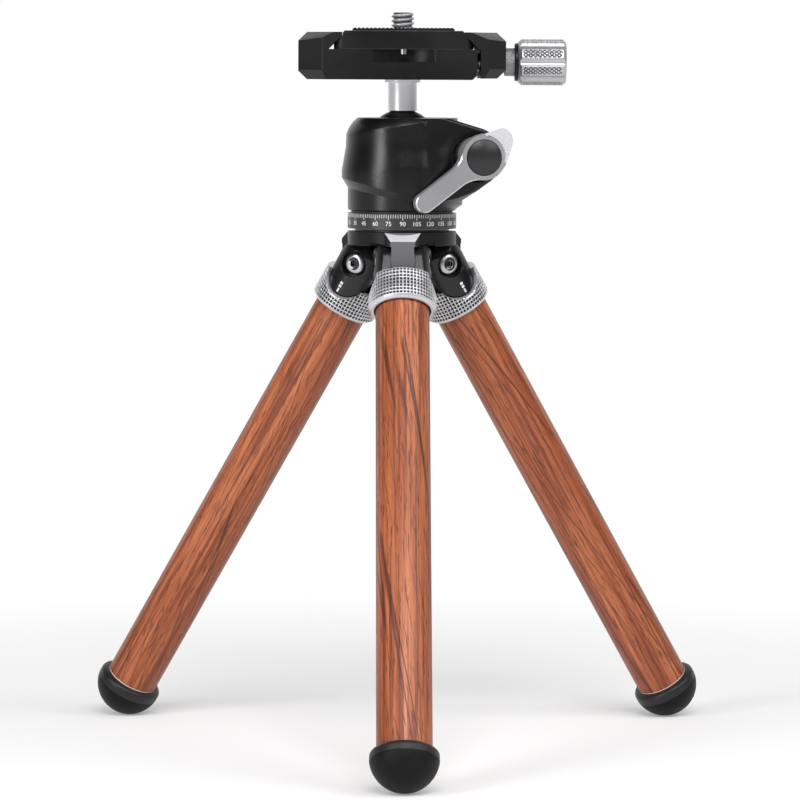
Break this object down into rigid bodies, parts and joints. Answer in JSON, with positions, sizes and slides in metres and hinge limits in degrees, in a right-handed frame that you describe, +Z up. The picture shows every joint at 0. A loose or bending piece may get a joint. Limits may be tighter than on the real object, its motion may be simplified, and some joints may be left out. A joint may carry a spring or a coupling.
{
  "type": "mini tripod",
  "caption": "Table tripod with spread legs on locking collars, a ball head with a panning scale, and a quick-release clamp with its camera plate",
  "frame": {"origin": "on the tripod's axis, on the plane that the feet stand on", "axes": "+Z up along the camera screw, +X toward the clamp's knob, one leg points along -Y"},
  "size_m": [0.1732, 0.1525, 0.202],
  "materials": {
    "wood_tube": "printed rosewood grain under clear varnish",
    "black_anodised": "satin black anodised",
    "silver_anodised": "satin silver anodised",
    "grey_anodised": "fine blasted grey anodised",
    "polished_steel": "polished",
    "steel": "plain steel",
    "black_rubber": "matt moulded rubber",
    "plastic": "low-friction plastic",
    "black_plastic": "smooth black plastic"
  },
  "bodies": {
    "base": {"hub": "black_anodised", "hub_screw": "steel", "pan_base": "black_anodised", "pivot_washers_front": "plastic", "pivot_washers_right": "plastic", "pivot_washers_left": "plastic"},
    "leg_front": {"leg_tube_front": "wood_tube", "foot_front": "black_rubber", "foot_plug_front": "silver_anodised", "fork_front": "black_anodised", "pivot_sleeve_front": "polished_steel", "pivot_screw_front": "polished_steel"},
    "collar_front": {"collar_front": "silver_anodised", "collar_seal_front": "black_rubber"},
    "leg_right": {"leg_tube_right": "wood_tube", "foot_right": "black_rubber", "foot_plug_right": "silver_anodised", "fork_right": "black_anodised", "pivot_sleeve_right": "polished_steel", "pivot_screw_right": "polished_steel"},
    "collar_right": {"collar_right": "silver_anodised", "collar_seal_right": "black_rubber"},
    "leg_left": {"leg_tube_left": "wood_tube", "foot_left": "black_rubber", "foot_plug_left": "silver_anodised", "fork_left": "black_anodised", "pivot_sleeve_left": "polished_steel", "pivot_screw_left": "polished_steel"},
    "collar_left": {"collar_left": "silver_anodised", "collar_seal_left": "black_rubber"},
    "head": {"housing": "black_anodised", "pan_washer": "black_plastic", "pan_retainer": "steel", "ball_cup": "plastic", "cup_spring": "steel", "cup_nut": "steel", "clamp_nut": "steel", "lever_washer": "steel"},
    "lever": {"lever": "grey_anodised", "lever_cap": "black_plastic", "clamp_bolt": "steel"},
    "ball": {"ball": "black_anodised", "stem": "polished_steel", "clamp_screw": "steel"},
    "clamp": {"clamp_body": "black_anodised", "jaw_springs": "steel"},
    "jaw": {"clamp_jaw": "black_anodised", "guide_pins": "steel"},
    "knob": {"knob": "silver_anodised", "knob_ring": "black_plastic", "jaw_bush": "silver_anodised", "jaw_screw": "steel"},
    "plate": {"plate": "black_anodised", "plate_stops": "steel", "plate_pad": "black_rubber"},
    "camera_screw": {"camera_screw": "polished_steel", "screw_clip": "steel"}
  },
  "joints": [
    {"name": "leg_spread_front", "type": "hinge", "parent": "base", "child": "leg_front", "pos_m": [0, -0.011, 0.13271], "axis": [-1, 0, 0], "range_deg": [-32.4, 42.6]},
    {"name": "collar_slide_front", "type": "slide", "parent": "leg_front", "child": "collar_front", "axis": [0, -0.5358, -0.8443], "range_m": [0, 0.0025]},
    {"name": "leg_spread_right", "type": "hinge", "parent": "base", "child": "leg_right", "pos_m": [0.00953, 0.0055, 0.13271], "axis": [0.5, -0.866, 0], "range_deg": [-32.4, 42.6]},
    {"name": "collar_slide_right", "type": "slide", "parent": "leg_right", "child": "collar_right", "axis": [0.464, 0.2679, -0.8443], "range_m": [0, 0.0025]},
    {"name": "leg_spread_left", "type": "hinge", "parent": "base", "child": "leg_left", "pos_m": [-0.00953, 0.0055, 0.13271], "axis": [0.5, 0.866, 0], "range_deg": [-32.4, 42.6]},
    {"name": "collar_slide_left", "type": "slide", "parent": "leg_left", "child": "collar_left", "axis": [-0.464, 0.2679, -0.8443], "range_m": [0, 0.0025]},
    {"name": "pan", "type": "hinge", "parent": "base", "child": "head", "pos_m": [0, 0, 0.14691], "axis": [0, 0, 1], "continuous": true},
    {"name": "lever_turn", "type": "hinge", "parent": "head", "child": "lever", "pos_m": [0.02136, -0.01208, 0.16251], "axis": [0.2588, -0.9659, 0], "range_deg": [0, 60]},
    {"name": "ball_tilt", "type": "hinge", "parent": "head", "child": "ball", "pos_m": [0, 0, 0.16541], "axis": [-1, 0, 0], "range_deg": [-15, 90]},
    {"name": "clamp_spin", "type": "hinge", "parent": "ball", "child": "clamp", "pos_m": [0, 0, 0.18361], "axis": [0, 0, 1], "continuous": true},
    {"name": "jaw_slide", "type": "slide", "parent": "clamp", "child": "jaw", "axis": [1, 0, 0], "range_m": [0, 0.004]},
    {"name": "knob_turn", "type": "hinge", "parent": "jaw", "child": "knob", "pos_m": [0.028, 0, 0.18851], "axis": [1, 0, 0], "range_deg": [0, 1800]},
    {"name": "plate_slide", "type": "slide", "parent": "clamp", "child": "plate", "axis": [0, 1, 0], "range_m": [-0.0008, 0.0008]},
    {"name": "camera_screw_turn", "type": "hinge", "parent": "plate", "child": "camera_screw", "pos_m": [0, 0, 0.19691], "axis": [0, 0, 1], "continuous": true}
  ],
  "couplings": [
    {"joint": "knob_turn", "follows": "jaw_slide", "rad_per_m": 7854}
  ]
}
